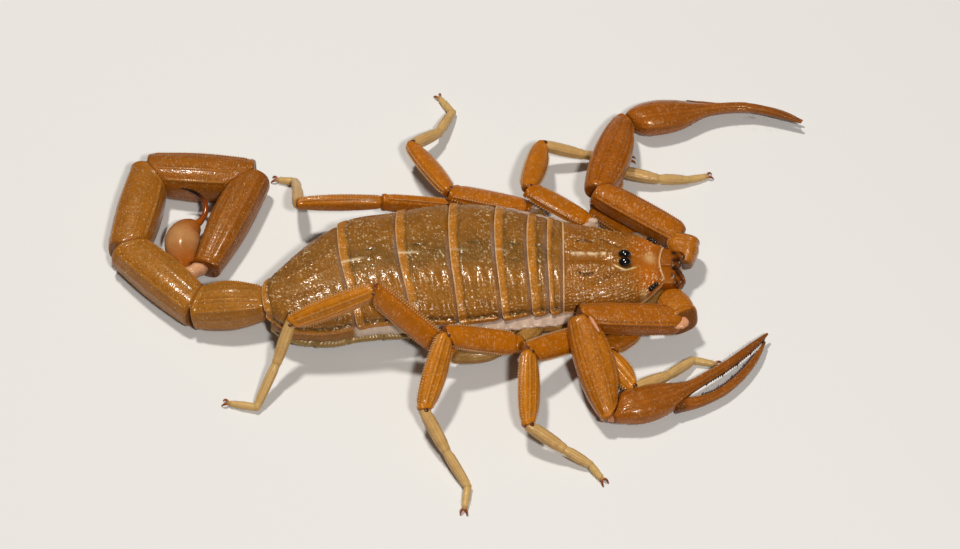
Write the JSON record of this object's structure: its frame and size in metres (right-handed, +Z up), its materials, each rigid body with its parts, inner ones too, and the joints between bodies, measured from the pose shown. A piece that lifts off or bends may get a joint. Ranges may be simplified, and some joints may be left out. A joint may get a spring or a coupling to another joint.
{
  "type": "desert scorpion",
  "caption": "Life-size still model of a slender desert scorpion at rest: plated body, two long pincers, eight legs and a tail laid on its side in a flat curl, sting tucked inside.",
  "frame": {"origin": "On the floor under the middle of the bounding box", "axes": "+X toward the head, along the longest side; +Y toward the animal's left; +Z up from the floor, the shortest side"},
  "size_m": [0.0502, 0.0364, 0.0067],
  "materials": {
    "back_plate": "olive-brown granular shell with yellow rims",
    "head_plate": "orange-brown granular shell",
    "membrane": "pale lilac-grey folded skin",
    "belly_plate": "olive-yellow smooth shell",
    "limb": "orange-brown shell with ridges",
    "foot": "pale tan shell",
    "pincer": "deep orange-brown glossy shell",
    "tail": "tan-brown finely granular shell",
    "vesicle": "pale yellow glossy shell",
    "sting": "dark red-brown glossy point",
    "eye": "glossy black lens",
    "jaw": "ochre shell with dark tips"
  },
  "bodies": {
    "root": {"carapace": "head_plate", "eye_median_right": "eye", "eyes_lateral_right": "eye", "chelicera_right": "jaw", "pecten_right": "belly_plate", "eye_median_left": "eye", "eyes_lateral_left": "eye", "chelicera_left": "jaw", "pecten_left": "belly_plate", "tergite_1": "back_plate", "tergite_2": "back_plate", "tergite_3": "back_plate", "tergite_4": "back_plate", "tergite_5": "back_plate", "tergite_6": "back_plate", "tergite_7": "back_plate", "pleural_membrane": "membrane", "sternites": "belly_plate", "coxosternum": "belly_plate", "palp_right_trochanter": "pincer", "palp_right_femur": "pincer", "palp_right_patella": "pincer", "palp_right_hand": "pincer", "palp_right_finger": "pincer", "leg_right_1_femur": "limb", "leg_right_1_patella": "limb", "leg_right_1_foot": "foot", "leg_right_2_femur": "limb", "leg_right_2_patella": "limb", "leg_right_2_foot": "foot", "leg_right_3_femur": "limb", "leg_right_3_patella": "limb", "leg_right_3_foot": "foot", "leg_right_4_femur": "limb", "leg_right_4_patella": "limb", "leg_right_4_foot": "foot", "palp_left_trochanter": "pincer", "palp_left_femur": "pincer", "palp_left_patella": "pincer", "palp_left_hand": "pincer", "palp_left_finger": "pincer", "leg_left_1_femur": "limb", "leg_left_1_patella": "limb", "leg_left_1_foot": "foot", "leg_left_2_femur": "limb", "leg_left_2_patella": "limb", "leg_left_2_foot": "foot", "leg_left_3_femur": "limb", "leg_left_3_patella": "limb", "leg_left_3_foot": "foot", "leg_left_4_femur": "limb", "leg_left_4_patella": "limb", "leg_left_4_foot": "foot", "tail_segment_1": "tail", "tail_segment_2": "tail", "tail_segment_3": "tail", "tail_segment_4": "tail", "tail_segment_5": "tail", "telson_vesicle": "vesicle", "telson_aculeus": "sting"}
  },
  "joints": []
}
